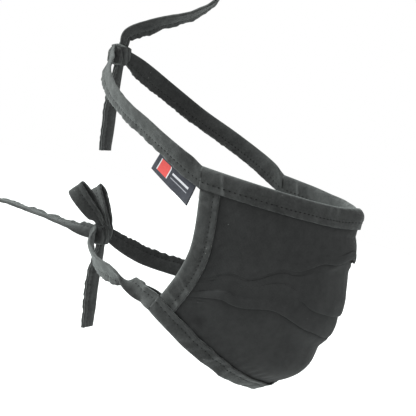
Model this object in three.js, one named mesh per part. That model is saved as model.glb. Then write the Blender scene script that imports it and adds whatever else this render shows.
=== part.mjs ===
import * as THREE from 'three';

// Pleated cloth face mask that ties round the form it is worn on, in millimetres.
// The origin is the nose seat: the middle of the top edge, on the inner face.
// +Z is up as worn, the front faces -Y and the wearer's right is -X.
// The mask keeps its worn shape, so the ties run round the form to their knots.

// Panel
const PANEL_HALF_WIDTH = 68;
const PANEL_DEPTH = 92;
const PANEL_DROP = 133;
const PANEL_WALL = 1.5;
const PANEL_SWEEP = 78;

// Folds in the panel
const FOLD_DEPTH = 5;
const FOLD_LIP = 3;
const FOLD_FADE_START = 0.72;
const FOLD_FADE_END = 0.89;

// Tape that binds the edges and runs on as ties
const TAPE_WIDTH = 14;
const TAPE_WALL = 1;
const TIE_THICKNESS = 2 * TAPE_WALL;
const CLEARANCE = 0.3;

// Form that the ties run round
const FORM_HALF_WIDTH = 75;
const FORM_HALF_DEPTH = 95;
const FORM_HALF_HEIGHT = 118;
const FORM_CENTRE_BACK = 97;

// Knots behind the form
const TOP_KNOT_BACK = 191;
const TOP_KNOT_RISE = 64;
const NAPE_KNOT_BACK = 174;
const NAPE_KNOT_DROP = 62;
const KNOT_WIDTH = 19;
const KNOT_DEPTH = 12;
const KNOT_HEIGHT = 16;
const KNOT_SQUARENESS = 0.35;
const KNOT_TAPER = 0.2;
const KNOT_SQUEEZE = 0.7;

// Bow loops, free tails and side label
const LOOP_LENGTH = 30;
const LOOP_OPENING = 9;
const LOOP_SPREAD = 0.45;
const LOOP_LEAN = 1;
const LONG_TAIL = 84;
const CROWN_TAIL = 80;
const PLAIN_TAIL = 60;
const TAIL_OFFSET = 3;
const LABEL_LENGTH = 30;
const LABEL_DROP = 15;
const LABEL_WALL = 1.2;
const LABEL_START = 2;

// Mesh density
const PANEL_COLUMNS = 22;
const SIDE_STEPS = 9;
const TIE_STEPS = 26;
const TAIL_STEPS = 14;
const LOOP_STEPS = 24;
const LABEL_COLUMNS = 6;
const LABEL_ROWS = 3;

// Middle line of the panel: back is a share of the depth, down a share of the drop.
const MIDDLE_LINE = [
  { back: -0.022, down: 0.010 },
  { back: -0.100, down: 0.180 },
  { back: -0.118, down: 0.360 },
  { back: -0.098, down: 0.530 },
  { back: -0.050, down: 0.680 },
  { back: 0.060, down: 0.845 },
  { back: 0.370, down: 0.975 }
];

// Side edge of the panel: out is a share of the half width.
const SIDE_LINE = [
  { out: 1.000, back: 0.804, down: -0.042 },
  { out: 1.000, back: 0.777, down: 0.105 },
  { out: 0.997, back: 0.759, down: 0.240 },
  { out: 0.985, back: 0.766, down: 0.346 },
  { out: 0.968, back: 0.810, down: 0.451 },
  { out: 0.941, back: 0.875, down: 0.540 },
  { out: 0.890, back: 1.000, down: 0.685 }
];

// Creases of the folds: shares of the way down the panel at five stations,
// from the middle out to the side edge, and the fold's depth there.
const FOLDS = [
  { down: [0.22, 0.25, 0.33, 0.47, 0.66], deep: [1.1, 0.9, 0.6, 0.4, 0.4] },
  { down: [0.49, 0.50, 0.46, 0.56, 0.72], deep: [0.7, 0.6, 0.0, 0.0, 0.0] },
  { down: [0.57, 0.56, 0.54, 0.63, 0.79], deep: [0.5, 0.8, 1.0, 0.9, 0.5] }
];

// Section through one fold: along and over are shares of the lip, out of the depth.
const FOLD_SECTION = [
  { along: -1.60, over: 0.0, out: 0.50 },
  { along: -0.60, over: 0.4, out: 0.50 },
  { along: -0.25, over: 0.6, out: 0.25 },
  { along: 0.00, over: 0.0, out: 0.00 },
  { along: 0.25, over: -0.6, out: -0.25 },
  { along: 0.60, over: -0.4, out: -0.50 },
  { along: 1.60, over: 0.0, out: -0.50 }
];

// Rows of wall between one crease or tape edge and the next
const STRIP_ROWS = [0, 4, 3, 1, 3, 0];

// Routes of the ties: reach and lift are shares of the way from the panel's corner
// to the knot, side is a share of the form's half width, turn is the twist in degrees.
const TOP_TIE_ROUTE = [
  { reach: 0.20, lift: 0.18, side: 0.95, width: 1.0, turn: -26 },
  { reach: 0.40, lift: 0.34, side: 0.91, width: 1.0, turn: -30 },
  { reach: 0.62, lift: 0.51, side: 0.80, width: 1.0, turn: -30 },
  { reach: 0.81, lift: 0.71, side: 0.60, width: 1.0, turn: -16 },
  { reach: 0.93, lift: 0.88, side: 0.33, width: 1.0, turn: 0 }
];
const NAPE_TIE_ROUTE = [
  { reach: 0.10, lift: 0.12, side: 0.81, width: 1.0, turn: 0 },
  { reach: 0.24, lift: 0.26, side: 0.80, width: 0.8, turn: 70 },
  { reach: 0.34, lift: 0.30, side: 0.77, width: 0.8, turn: 150 },
  { reach: 0.46, lift: 0.33, side: 0.73, width: 1.0, turn: 180 },
  { reach: 0.70, lift: 0.43, side: 0.56, width: 1.0, turn: 180 },
  { reach: 0.86, lift: 0.62, side: 0.39, width: 1.0, turn: 180 }
];

// Bow loop: reach is a share of its length, side of its opening. The outward axis of
// the tape turns from facing across to facing along as the tape rounds the tip.
const BOW_LOOP = [
  { reach: 0.00, side: -0.19, faceAcross: 1.0, faceAlong: 0.0, width: 0.6 },
  { reach: 0.35, side: 0.02, faceAcross: 1.0, faceAlong: 0.0, width: 0.8 },
  { reach: 0.75, side: 0.06, faceAcross: 0.9, faceAlong: 0.3, width: 0.9 },
  { reach: 0.96, side: -0.12, faceAcross: 0.6, faceAlong: 0.8, width: 0.9 },
  { reach: 1.00, side: -0.38, faceAcross: 0.0, faceAlong: 1.0, width: 0.9 },
  { reach: 0.96, side: -0.64, faceAcross: -0.6, faceAlong: 0.8, width: 0.9 },
  { reach: 0.75, side: -0.80, faceAcross: -0.9, faceAlong: 0.3, width: 0.9 },
  { reach: 0.35, side: -0.74, faceAcross: -1.0, faceAlong: 0.0, width: 0.8 },
  { reach: 0.00, side: -0.58, faceAcross: -1.0, faceAlong: 0.0, width: 0.6 }
];

// Free tails: side, back and rise are shares of the tail's length, and face is the
// outward axis of the tape there.
const LONG_TAIL_ROUTE = [
  { side: 0.00, back: 0.00, rise: 0.00, face: [-1.0, 0.0, 0.2], width: 0.7 },
  { side: -0.01, back: 0.22, rise: 0.00, face: [-0.3, 0.0, 1.0], width: 0.9 },
  { side: 0.00, back: 0.45, rise: 0.02, face: [-0.2, 0.0, 1.0], width: 1.0 },
  { side: 0.01, back: 0.68, rise: 0.03, face: [-0.2, 0.0, 1.0], width: 1.0 },
  { side: 0.00, back: 1.00, rise: 0.04, face: [-0.1, 0.0, 1.0], width: 1.0 }
];
const CROWN_TAIL_ROUTE = [
  { side: 0.00, back: 0.00, rise: 0.00, face: [0.0, 1.0, 0.0], width: 0.7 },
  { side: 0.02, back: -0.02, rise: 0.10, face: [0.0, 1.0, 0.1], width: 0.9 },
  { side: 0.17, back: -0.22, rise: 0.25, face: [0.2, 0.8, 0.6], width: 1.0 },
  { side: 0.24, back: -0.45, rise: 0.37, face: [0.1, 0.6, 0.8], width: 1.0 },
  { side: 0.25, back: -0.60, rise: 0.47, face: [-0.1, 0.6, 0.8], width: 1.0 },
  { side: 0.24, back: -0.68, rise: 0.56, face: [-0.4, 0.8, 0.5], width: 1.0 }
];
const HANGING_TAIL_ROUTE = [
  { side: 0.00, back: 0.00, rise: 0.00, face: [0.0, 1.0, 0.0], width: 0.7 },
  { side: 0.03, back: 0.02, rise: -0.30, face: [0.1, 1.0, 0.1], width: 1.0 },
  { side: 0.06, back: 0.01, rise: -0.65, face: [0.1, 1.0, 0.0], width: 1.0 },
  { side: 0.08, back: -0.02, rise: -1.00, face: [0.0, 1.0, 0.0], width: 1.0 }
];

// Dents in the lower part of each side: deep is a share of the fold depth.
const DENTS = [
  { across: 0.80, down: 0.84, wide: 0.07, tall: 0.09, deep: 0.45 },
  { across: 0.52, down: 0.76, wide: 0.16, tall: 0.08, deep: 0.30 },
  { across: 0.62, down: 0.30, wide: 0.18, tall: 0.09, deep: 0.25 }
];

const black = { color: 0x39393a, roughness: 0.9, metalness: 0 };
const charcoal = { color: 0x46484a, roughness: 0.85, metalness: 0 };
const navy = { color: 0x2b303c, roughness: 0.8, metalness: 0 };

const mask = new THREE.Group();

function addPiece(name, geometry, finish) {
  const piece = new THREE.Mesh(geometry, new THREE.MeshStandardMaterial(finish));
  piece.name = name;
  mask.add(piece);
}

function smoothLine(points) {
  return new THREE.CatmullRomCurve3(points, false, 'catmullrom', 0.5);
}

const middleLine = smoothLine(MIDDLE_LINE.map((row) => (
  new THREE.Vector3(0, row.back * PANEL_DEPTH, -row.down * PANEL_DROP)
)));
const sideLine = smoothLine(SIDE_LINE.map((row) => (
  new THREE.Vector3(row.out * PANEL_HALF_WIDTH, row.back * PANEL_DEPTH, -row.down * PANEL_DROP)
)));
const sweep = THREE.MathUtils.degToRad(PANEL_SWEEP);

// Point at a share of a line's length, carried straight on past its ends.
function pointAlong(line, share) {
  const inside = THREE.MathUtils.clamp(share, 0, 1);
  const beyond = (share - inside) * line.getLength();
  return line.getPointAt(inside).addScaledVector(line.getTangentAt(inside), beyond);
}

// Unfolded panel: across runs from -1 to 1, down from 0 at the top edge to 1.
function panelPoint(across, down) {
  const middle = pointAlong(middleLine, down);
  const side = pointAlong(sideLine, down);
  const wrap = (1 - Math.cos(across * sweep)) / (1 - Math.cos(sweep));
  return new THREE.Vector3(
    side.x * Math.sin(across * sweep) / Math.sin(sweep),
    THREE.MathUtils.lerp(middle.y, side.y, wrap),
    THREE.MathUtils.lerp(middle.z, side.z, wrap)
  );
}

// Axes on the unfolded panel: across it, down it and out from its front.
function panelAxes(across, down) {
  const step = 0.01;
  const acrossAxis = panelPoint(across + step, down).sub(panelPoint(across - step, down));
  const downAxis = panelPoint(across, down + step).sub(panelPoint(across, down - step));
  const out = new THREE.Vector3().crossVectors(downAxis, acrossAxis).normalize();
  return { across: acrossAxis.normalize(), down: downAxis.normalize(), out };
}

// Shares of the panel that a length in from an edge takes up.
function shareFromTop(across, length) {
  return length / (10 * panelPoint(across, 0).distanceTo(panelPoint(across, 0.1)));
}
function shareFromBottom(across, length) {
  return length / (10 * panelPoint(across, 1).distanceTo(panelPoint(across, 0.9)));
}
function shareFromSide(down, length) {
  return length / (10 * panelPoint(1, down).distanceTo(panelPoint(0.9, down)));
}

// Value of a five-station row at a place across the panel.
function atStation(values, across) {
  const place = Math.min(Math.abs(across), 1) * (values.length - 1);
  const first = Math.min(Math.floor(place), values.length - 2);
  const blend = THREE.MathUtils.smoothstep(place - first, 0, 1);
  return THREE.MathUtils.lerp(values[first], values[first + 1], blend);
}

// Folds and dents die out towards the side tapes.
function sideFade(across) {
  return 1 - THREE.MathUtils.smoothstep(Math.abs(across), FOLD_FADE_START, FOLD_FADE_END);
}

// Creases and tape edges that the rows of the wall run between, from top to bottom.
function panelLines(across) {
  const folds = FOLDS.map((fold) => ({
    down: atStation(fold.down, across),
    deep: atStation(fold.deep, across) * sideFade(across),
    fold: true
  }));
  return [
    { down: 0, deep: 0 },
    { down: shareFromTop(across, TAPE_WIDTH), deep: 0 },
    ...folds,
    { down: 1 - shareFromBottom(across, TAPE_WIDTH), deep: 0 },
    { down: 1, deep: 0 }
  ];
}

// How far the dents push the panel in at a place on it, clear of the side tapes.
function dentDepth(across, down) {
  const depths = DENTS.map((dent) => {
    const sideways = (Math.abs(across) - dent.across) / dent.wide;
    const downwards = (down - dent.down) / dent.tall;
    return dent.deep * FOLD_DEPTH * Math.exp(-(sideways ** 2) - downwards ** 2);
  });
  return depths.reduce((sum, depth) => sum + depth, 0) * sideFade(across);
}

// One column of points down the folded panel.
function panelColumn(across) {
  const lines = panelLines(across);
  const column = [];
  const put = (down, along, out) => {
    const axes = panelAxes(across, down);
    const point = panelPoint(across, down).addScaledVector(axes.down, along);
    column.push(point.addScaledVector(axes.out, out));
  };
  lines.forEach((line, index) => {
    if (line.fold) {
      for (const row of FOLD_SECTION) {
        const along = (row.along + row.over * line.deep) * FOLD_LIP;
        const out = row.out * line.deep * FOLD_DEPTH;
        put(line.down, along, out - dentDepth(across, line.down));
      }
    } else {
      put(line.down, 0, 0);
    }
    const rows = STRIP_ROWS[index] ?? 0;
    for (let row = 1; row <= rows; row += 1) {
      const next = lines[index + 1];
      const share = row / (rows + 1);
      const rise = next.deep * share ** 2 - line.deep * (1 - share) ** 2;
      const down = THREE.MathUtils.lerp(line.down, next.down, share);
      put(down, 0, 0.5 * rise * FOLD_DEPTH - dentDepth(across, down));
    }
  });
  return column;
}

// Closed wall round a grid of points, half its thickness to each side.
function wallFromGrid(grid, thickness) {
  const columns = grid.length - 1;
  const rows = grid[0].length - 1;
  const geometry = new THREE.BoxGeometry(1, 1, 1, columns, rows, 1);
  const places = geometry.attributes.position;
  for (let index = 0; index < places.count; index += 1) {
    const i = Math.round((places.getX(index) + 0.5) * columns);
    const j = Math.round((0.5 - places.getY(index)) * rows);
    const right = grid[Math.min(i + 1, columns)][j].clone();
    const below = grid[i][Math.min(j + 1, rows)].clone();
    right.sub(grid[Math.max(i - 1, 0)][j]);
    below.sub(grid[i][Math.max(j - 1, 0)]);
    const out = below.cross(right).normalize();
    const point = grid[i][j].clone().addScaledVector(out, places.getZ(index) * thickness);
    places.setXYZ(index, point.x, point.y, point.z);
  }
  return geometry;
}

// Stations across the panel, with one at the inner edge of each side tape.
function panelStations() {
  const inner = 1 - shareFromSide(0.5, TAPE_WIDTH);
  const stations = [-1];
  for (let index = 0; index <= PANEL_COLUMNS - 2; index += 1) {
    stations.push(inner * (2 * index / (PANEL_COLUMNS - 2) - 1));
  }
  stations.push(1);
  return stations;
}

function pleatedPanel() {
  return wallFromGrid(panelStations().map(panelColumn), PANEL_WALL);
}

// Section of a tape folded over an edge: x is through the wall, y in from the edge.
function foldedTapeShape() {
  const inside = PANEL_WALL / 2 + CLEARANCE;
  const outside = inside + TAPE_WALL;
  const past = CLEARANCE + TAPE_WALL;
  const corner = 0.6 * TAPE_WALL;
  const shape = new THREE.Shape();
  shape.moveTo(-outside, TAPE_WIDTH - past);
  shape.lineTo(-outside, corner - past);
  shape.lineTo(corner - outside, -past);
  shape.lineTo(outside - corner, -past);
  shape.lineTo(outside, corner - past);
  shape.lineTo(outside, TAPE_WIDTH - past);
  shape.lineTo(inside, TAPE_WIDTH - past);
  shape.lineTo(inside, -CLEARANCE);
  shape.lineTo(-inside, -CLEARANCE);
  shape.lineTo(-inside, TAPE_WIDTH - past);
  return shape;
}

// Folded tape whose length runs through the stations of a placing function.
function foldedTape(stations, place) {
  const steps = stations.length - 1;
  const settings = { depth: 1, steps, bevelEnabled: false };
  const geometry = new THREE.ExtrudeGeometry(foldedTapeShape(), settings);
  const places = geometry.attributes.position;
  for (let index = 0; index < places.count; index += 1) {
    const station = stations[Math.round(places.getZ(index) * steps)];
    const point = place(station, places.getY(index), places.getX(index));
    places.setXYZ(index, point.x, point.y, point.z);
  }
  return geometry;
}

function placeOnPanel(across, down, through) {
  const axes = panelAxes(THREE.MathUtils.clamp(across, -1, 1), THREE.MathUtils.clamp(down, 0, 1));
  return panelPoint(across, down).addScaledVector(axes.out, through);
}

// Places in a tape on each edge: inward from the edge and through the wall.
function placeAtTop(across, inward, through) {
  return placeOnPanel(across, shareFromTop(across, inward), through);
}
function placeAtBottom(across, inward, through) {
  return placeOnPanel(across, 1 - shareFromBottom(across, inward), -through);
}
function placeAtRightSide(down, inward, through) {
  return placeOnPanel(shareFromSide(down, inward) - 1, down, -through);
}
function placeAtLeftSide(down, inward, through) {
  return placeOnPanel(1 - shareFromSide(down, inward), down, through);
}

// Stations of an edge tape, which reaches as far as the side tapes do.
function edgeStations(down) {
  const stations = panelStations();
  const past = shareFromSide(down, CLEARANCE + TAPE_WALL);
  stations[0] -= past;
  stations[stations.length - 1] += past;
  return stations;
}

// Stations down a side tape, between the top tape and the bottom one.
function sideStations() {
  const inset = TAPE_WIDTH - TAPE_WALL;
  const first = shareFromTop(1, inset);
  const last = 1 - shareFromBottom(1, inset);
  return Array.from({ length: SIDE_STEPS + 1 }, (_, index) => (
    THREE.MathUtils.lerp(first, last, index / SIDE_STEPS)
  ));
}

// Direction out of the form at a point on it.
function outOfForm(point) {
  return new THREE.Vector3(
    point.x / FORM_HALF_WIDTH ** 2,
    (point.y - FORM_CENTRE_BACK) / FORM_HALF_DEPTH ** 2,
    point.z / FORM_HALF_HEIGHT ** 2
  ).normalize();
}

// Flat tape through a row of stations, each with a point, width, outward axis and turn.
// An end station may name the axis of its width, so that the end lies square to a neighbour.
function ribbonPath(stations) {
  const line = smoothLine(stations.map((station) => station.point));
  const last = stations.length - 1;
  const frameAt = (share) => {
    const place = line.getUtoTmapping(share);
    const first = Math.min(Math.floor(place * last), last - 1);
    const blend = place * last - first;
    const before = stations[first];
    const after = stations[first + 1];
    const ahead = line.getTangent(place);
    const wide = before.out.clone().lerp(after.out, blend).cross(ahead).normalize().negate();
    const turn = THREE.MathUtils.lerp(before.turn, after.turn, blend);
    wide.applyAxisAngle(ahead, THREE.MathUtils.degToRad(turn));
    return {
      point: line.getPoint(place),
      wide,
      out: new THREE.Vector3().crossVectors(wide, ahead).normalize(),
      width: TAPE_WIDTH * THREE.MathUtils.lerp(before.width, after.width, blend)
    };
  };
  return { length: line.getLength(), frameAt };
}

function ribbon(stations, steps) {
  const path = ribbonPath(stations);
  const frames = Array.from({ length: steps + 1 }, (_, index) => path.frameAt(index / steps));
  for (const [frame, station] of [[frames[0], stations[0]], [frames[steps], stations.at(-1)]]) {
    if (station.wide) {
      const turnedOver = frame.out.dot(station.out) < 0;
      frame.wide = station.wide;
      frame.out = turnedOver ? station.out.clone().negate() : station.out;
    }
  }
  const geometry = new THREE.BoxGeometry(1, 1, 1, 1, steps, 1);
  const places = geometry.attributes.position;
  for (let index = 0; index < places.count; index += 1) {
    const frame = frames[Math.round((places.getY(index) + 0.5) * steps)];
    const point = frame.point.clone();
    point.addScaledVector(frame.wide, places.getX(index) * frame.width);
    point.addScaledVector(frame.out, places.getZ(index) * TIE_THICKNESS);
    places.setXYZ(index, point.x, point.y, point.z);
  }
  return geometry;
}

const topKnot = new THREE.Vector3(0, TOP_KNOT_BACK, TOP_KNOT_RISE);
const napeKnot = new THREE.Vector3(0, NAPE_KNOT_BACK, -NAPE_KNOT_DROP);

// Axes of a tape that meets the side of a knot upright. The outward axis is the one before
// the tape's turn, and the axis of its width is the one after it.
function squareEnd(turn) {
  const facing = Math.cos(THREE.MathUtils.degToRad(turn));
  return { out: new THREE.Vector3(0, 1, 0), wide: new THREE.Vector3(0, 0, facing) };
}

// Stations of a tie on the wearer's right, from the end of its edge tape to its knot.
function tieStations(edge, route, knot, turn) {
  const start = -1 - shareFromSide(edge.down, 2 * CLEARANCE + TAPE_WALL);
  const inward = TAPE_WIDTH / 2 - CLEARANCE - TAPE_WALL;
  const corner = edge.place(start, inward, 0);
  const axes = panelAxes(-1, edge.down);
  const end = knot.clone().setX(-KNOT_WIDTH / 2 - CLEARANCE);
  const middle = route.map((row) => {
    const point = new THREE.Vector3(
      -row.side * FORM_HALF_WIDTH,
      THREE.MathUtils.lerp(corner.y, knot.y, row.reach),
      THREE.MathUtils.lerp(corner.z, knot.z, row.lift)
    );
    return { point, out: outOfForm(point), width: row.width, turn: row.turn };
  });
  return [
    { point: corner, out: axes.out, wide: axes.down.negate(), width: 1, turn: 0 },
    ...middle,
    { point: end, ...squareEnd(turn), width: KNOT_SQUEEZE, turn }
  ];
}

// The same stations on the wearer's left. The axis of the width also turns end for end.
function mirrored(stations) {
  return stations.map((station) => ({
    ...station,
    point: station.point.clone().setX(-station.point.x),
    out: station.out.clone().setX(-station.out.x),
    wide: station.wide?.clone().setX(-station.wide.x).negate(),
    turn: -station.turn
  }));
}

// Knot pulled tight: a block rounded on all sides that narrows towards the ties.
function knot(centre) {
  const geometry = new THREE.BoxGeometry(2, 2, 2, 6, 4, 6);
  const places = geometry.attributes.position;
  for (let index = 0; index < places.count; index += 1) {
    const corner = new THREE.Vector3().fromBufferAttribute(places, index);
    const point = corner.clone().normalize().lerp(corner, KNOT_SQUARENESS);
    const height = KNOT_HEIGHT * (1 - KNOT_TAPER * Math.abs(corner.x));
    point.multiply(new THREE.Vector3(KNOT_WIDTH / 2, KNOT_DEPTH / 2, height / 2)).add(centre);
    places.setXYZ(index, point.x, point.y, point.z);
  }
  return geometry;
}

// Stations of a bow loop on the wearer's right: out from the knot, round and back.
function loopStations() {
  const along = new THREE.Vector3(-LOOP_SPREAD, LOOP_LEAN, 1).normalize();
  const root = napeKnot.clone().setZ(napeKnot.z + KNOT_HEIGHT / 2 + CLEARANCE);
  return BOW_LOOP.map((row) => {
    const point = root.clone().addScaledVector(along, row.reach * LOOP_LENGTH);
    point.x += row.side * LOOP_OPENING;
    const out = along.clone().multiplyScalar(row.faceAlong);
    out.x += row.faceAcross;
    const wide = row.reach === 0 ? new THREE.Vector3(0, 1, 0) : undefined;
    return { point, out: out.normalize(), wide, width: row.width, turn: 0 };
  });
}

// Stations of a free tail from the place where it leaves its knot.
function tailStations(root, length, route) {
  return route.map((row) => {
    const offset = new THREE.Vector3(row.side, row.back, row.rise).multiplyScalar(length);
    const out = new THREE.Vector3(...row.face).normalize();
    return { point: root.clone().add(offset), out, width: row.width, turn: 0 };
  });
}

// Places on a knot where tails leave it: above it, below it and behind it.
function knotRoot(centre, side, back, rise) {
  return new THREE.Vector3(
    centre.x + side * TAIL_OFFSET,
    centre.y + back * (KNOT_DEPTH / 2 + CLEARANCE),
    centre.z + rise * (KNOT_HEIGHT / 2 + CLEARANCE)
  );
}

// Folded label sewn into the lower edge of the top tie.
function sideLabel(stations) {
  const path = ribbonPath(stations);
  const grid = Array.from({ length: LABEL_COLUMNS + 1 }, (_, column) => {
    const along = LABEL_START + LABEL_LENGTH * (1 - column / LABEL_COLUMNS);
    const frame = path.frameAt(along / path.length);
    return Array.from({ length: LABEL_ROWS + 1 }, (_, row) => {
      const below = frame.width / 2 + CLEARANCE + LABEL_DROP * row / LABEL_ROWS;
      return frame.point.clone().addScaledVector(frame.wide, -below);
    });
  });
  return wallFromGrid(grid, LABEL_WALL);
}

const topEdge = { place: placeAtTop, down: 0 };
const bottomEdge = { place: placeAtBottom, down: 1 };
const untwistedRoute = NAPE_TIE_ROUTE.map((row) => ({ ...row, width: 1, turn: 0 }));
const topTie = tieStations(topEdge, TOP_TIE_ROUTE, topKnot, 0);
const napeTieRight = tieStations(bottomEdge, NAPE_TIE_ROUTE, napeKnot, 180);
const napeTieLeft = mirrored(tieStations(bottomEdge, untwistedRoute, napeKnot, 0));
const bowLoop = loopStations();
const crownTail = tailStations(knotRoot(topKnot, 1, 0, 1), CROWN_TAIL, CROWN_TAIL_ROUTE);
const topHangingTail = tailStations(knotRoot(topKnot, 1, 0, -1), PLAIN_TAIL, HANGING_TAIL_ROUTE);
const longTail = tailStations(knotRoot(napeKnot, 0, 1, 0), LONG_TAIL, LONG_TAIL_ROUTE);
const napeHangingTail = tailStations(knotRoot(napeKnot, 1, 0, -1), PLAIN_TAIL, HANGING_TAIL_ROUTE);

addPiece('pleated_panel', pleatedPanel(), black);
addPiece('top_binding', foldedTape(edgeStations(0), placeAtTop), charcoal);
addPiece('bottom_binding', foldedTape(edgeStations(1), placeAtBottom), charcoal);
addPiece('side_binding_right', foldedTape(sideStations(), placeAtRightSide), charcoal);
addPiece('side_binding_left', foldedTape(sideStations(), placeAtLeftSide), charcoal);
addPiece('top_tie_right', ribbon(topTie, TIE_STEPS), charcoal);
addPiece('top_tie_left', ribbon(mirrored(topTie), TIE_STEPS), charcoal);
addPiece('nape_tie_right', ribbon(napeTieRight, TIE_STEPS), charcoal);
addPiece('nape_tie_left', ribbon(napeTieLeft, TIE_STEPS), charcoal);
addPiece('top_knot', knot(topKnot), charcoal);
addPiece('crown_tail', ribbon(crownTail, TAIL_STEPS), charcoal);
addPiece('top_hanging_tail', ribbon(topHangingTail, TAIL_STEPS), charcoal);
addPiece('nape_knot', knot(napeKnot), charcoal);
addPiece('bow_loop_right', ribbon(bowLoop, LOOP_STEPS), charcoal);
addPiece('bow_loop_left', ribbon(mirrored(bowLoop), LOOP_STEPS), charcoal);
addPiece('long_tail', ribbon(longTail, TAIL_STEPS), charcoal);
addPiece('nape_hanging_tail', ribbon(napeHangingTail, TAIL_STEPS), charcoal);
addPiece('side_label', sideLabel(topTie), navy);

export default mask;
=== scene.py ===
import bisect
import math

import bmesh
import bpy
from mathutils import Matrix, Vector, noise


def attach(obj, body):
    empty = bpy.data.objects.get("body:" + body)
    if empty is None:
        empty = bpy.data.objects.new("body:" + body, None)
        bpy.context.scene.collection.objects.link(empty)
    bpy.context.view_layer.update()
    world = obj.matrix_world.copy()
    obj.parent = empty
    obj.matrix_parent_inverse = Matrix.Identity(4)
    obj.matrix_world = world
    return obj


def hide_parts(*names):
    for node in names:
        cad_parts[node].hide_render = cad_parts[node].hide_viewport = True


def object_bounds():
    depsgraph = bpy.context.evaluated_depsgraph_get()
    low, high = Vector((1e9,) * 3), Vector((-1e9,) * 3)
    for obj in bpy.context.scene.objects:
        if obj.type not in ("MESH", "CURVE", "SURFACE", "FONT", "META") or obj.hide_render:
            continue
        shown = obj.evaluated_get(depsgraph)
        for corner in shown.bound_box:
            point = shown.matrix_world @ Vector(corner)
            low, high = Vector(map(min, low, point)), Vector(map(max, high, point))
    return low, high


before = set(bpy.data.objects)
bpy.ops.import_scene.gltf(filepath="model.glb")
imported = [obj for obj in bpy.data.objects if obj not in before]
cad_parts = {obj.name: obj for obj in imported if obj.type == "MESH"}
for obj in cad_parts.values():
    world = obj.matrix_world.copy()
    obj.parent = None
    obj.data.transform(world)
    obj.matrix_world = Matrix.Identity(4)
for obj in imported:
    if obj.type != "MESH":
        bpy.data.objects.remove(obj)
cad_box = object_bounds()

# Pleated cloth face mask with bound edges and ties, held in its worn shape.
# Sizes are in millimetres, and a mesh's points are turned to metres as they are placed.
MM = 0.001


def table(names, *rows):
    """Rows of values as dicts, by the names of their columns."""
    return [dict(zip(names.split(), row)) for row in rows]


# Panel
PANEL_HALF_WIDTH = 68
PANEL_DEPTH = 92
PANEL_DROP = 133
PANEL_WALL = 1.5
PANEL_SWEEP = math.radians(78)
PANEL_CLOTH = 0.6
PANEL_COLUMNS = 240
PANEL_ROWS_A_SPAN = 5

# Folds in the panel
FOLD_DEPTH = 3.4
FOLD_LIP = 2.2
FOLD_FADE_START = 0.80
FOLD_FADE_END = 0.97
DENT_DEPTH = 5

# Gathers that run up from the lower corners, where across and down add up to their place
GATHER_DEPTH = 1.4
GATHER_PLACE = 1.61
GATHER_WIDTH = 0.024

# Pinch at the nose, slack along the two edges and in the panel, and puckers along its tapes
NOSE_PINCH = 6.5
TOP_SLACK = 1.1
BOTTOM_SLACK = 1.5
BROAD_SLACK = 1.0
FINE_SLACK = 0.45
SIDE_PUCKER = 0.22
TOP_PUCKER = 0.08
BOTTOM_PUCKER = 0.25

# Tape that binds the edges and runs on as ties
TAPE_WIDTH = 14
TAPE_WALL = 1
TAPE_CLOTH = 0.85
CLEARANCE = 0.3
TAPE_PAST = CLEARANCE + TAPE_WALL
TAPE_STEP = 0.8
LEAF_STEPS = 13
EDGE_STEPS = 6

# Cloth as it is cut: the panel opened flat, in metres, and half its width in millimetres
PANEL_CUT = (0.23, 0.15)
PANEL_HALF_CUT = PANEL_CUT[0] / 2 / MM

# Seam through both leaves of a tape
SEAM_SHARE = 0.70
STITCH_PITCH = 3
STITCH_LENGTH = 1.6
STITCH_WIDTH = 0.75
SEAM_SINK = 0.42
SEAM_HALF_WIDTH = 0.9

# Relief of a tape's leaves and of the open edge of a tie
LEAF_PUFF = 0.22
LEAF_CRUMPLE = 0.22
OPEN_LIP = 0.3
RIDGE_HEIGHT = 0.6
OPEN_RIPPLE = 1.1
OPEN_FLUTTER = 0.7
OPEN_DRAW = 0.8
SCALLOP_DEPTH = 0.5
TIE_BEND = 0.8
TIE_LIVELY = 1.1

# Form that the ties run round
FORM_HALF_WIDTH = 75
FORM_HALF_DEPTH = 95
FORM_HALF_HEIGHT = 118
FORM_CENTRE_BACK = 97

# Knots behind the form
TOP_KNOT = Vector((0, 191, 64))
NAPE_KNOT = Vector((0, 174, -62))
KNOT_WIDTH = 19
KNOT_DEPTH = 12
KNOT_HEIGHT = 16
KNOT_SQUEEZE = 0.7
KNOT_SQUARENESS = 0.45
KNOT_COLUMNS = 128
KNOT_ROWS = 88

# Bow loops, free tails and side label
LOOP_LENGTH = 30
LOOP_OPENING = 9
LOOP_SPREAD = 0.45
LOOP_LEAN = 1
LONG_TAIL = 84
CROWN_TAIL = 80
PLAIN_TAIL = 60
TAIL_OFFSET = 3
LABEL_LENGTH = 30
LABEL_DROP = 15
LABEL_CLOTH = 0.8
LABEL_SEWN_IN = 1.5
LABEL_START = 2
LABEL_LEAN = 3.5
LABEL_BOW = 0.5

# Middle line of the panel: back is a share of the depth, down a share of the drop.
MIDDLE_LINE = table(
    "back down",
    (-0.022, 0.01),
    (-0.1, 0.18),
    (-0.118, 0.36),
    (-0.098, 0.53),
    (-0.05, 0.68),
    (0.06, 0.845),
    (0.37, 0.975),
)

# Side edge of the panel: out is a share of the half width.
SIDE_LINE = table(
    "out back down",
    (1, 0.804, -0.042),
    (1, 0.777, 0.105),
    (0.997, 0.759, 0.24),
    (0.985, 0.766, 0.346),
    (0.968, 0.81, 0.451),
    (0.941, 0.875, 0.54),
    (0.89, 1, 0.685),
)

# Creases of the folds: shares of the way down the panel at five stations,
# from the middle out to the side edge, and of the fold depth there.
FOLDS = table(
    "down deep",
    ((0.2, 0.24, 0.33, 0.47, 0.66), (1.3, 0.6, 0.2, 0.15, 0.15)),
    ((0.46, 0.46, 0.43, 0.54, 0.725), (0.7, 0.4, 0, 0, 0)),
    ((0.57, 0.55, 0.525, 0.615, 0.79), (0.25, 0.5, 0.7, 0.7, 0.6)),
)

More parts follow.
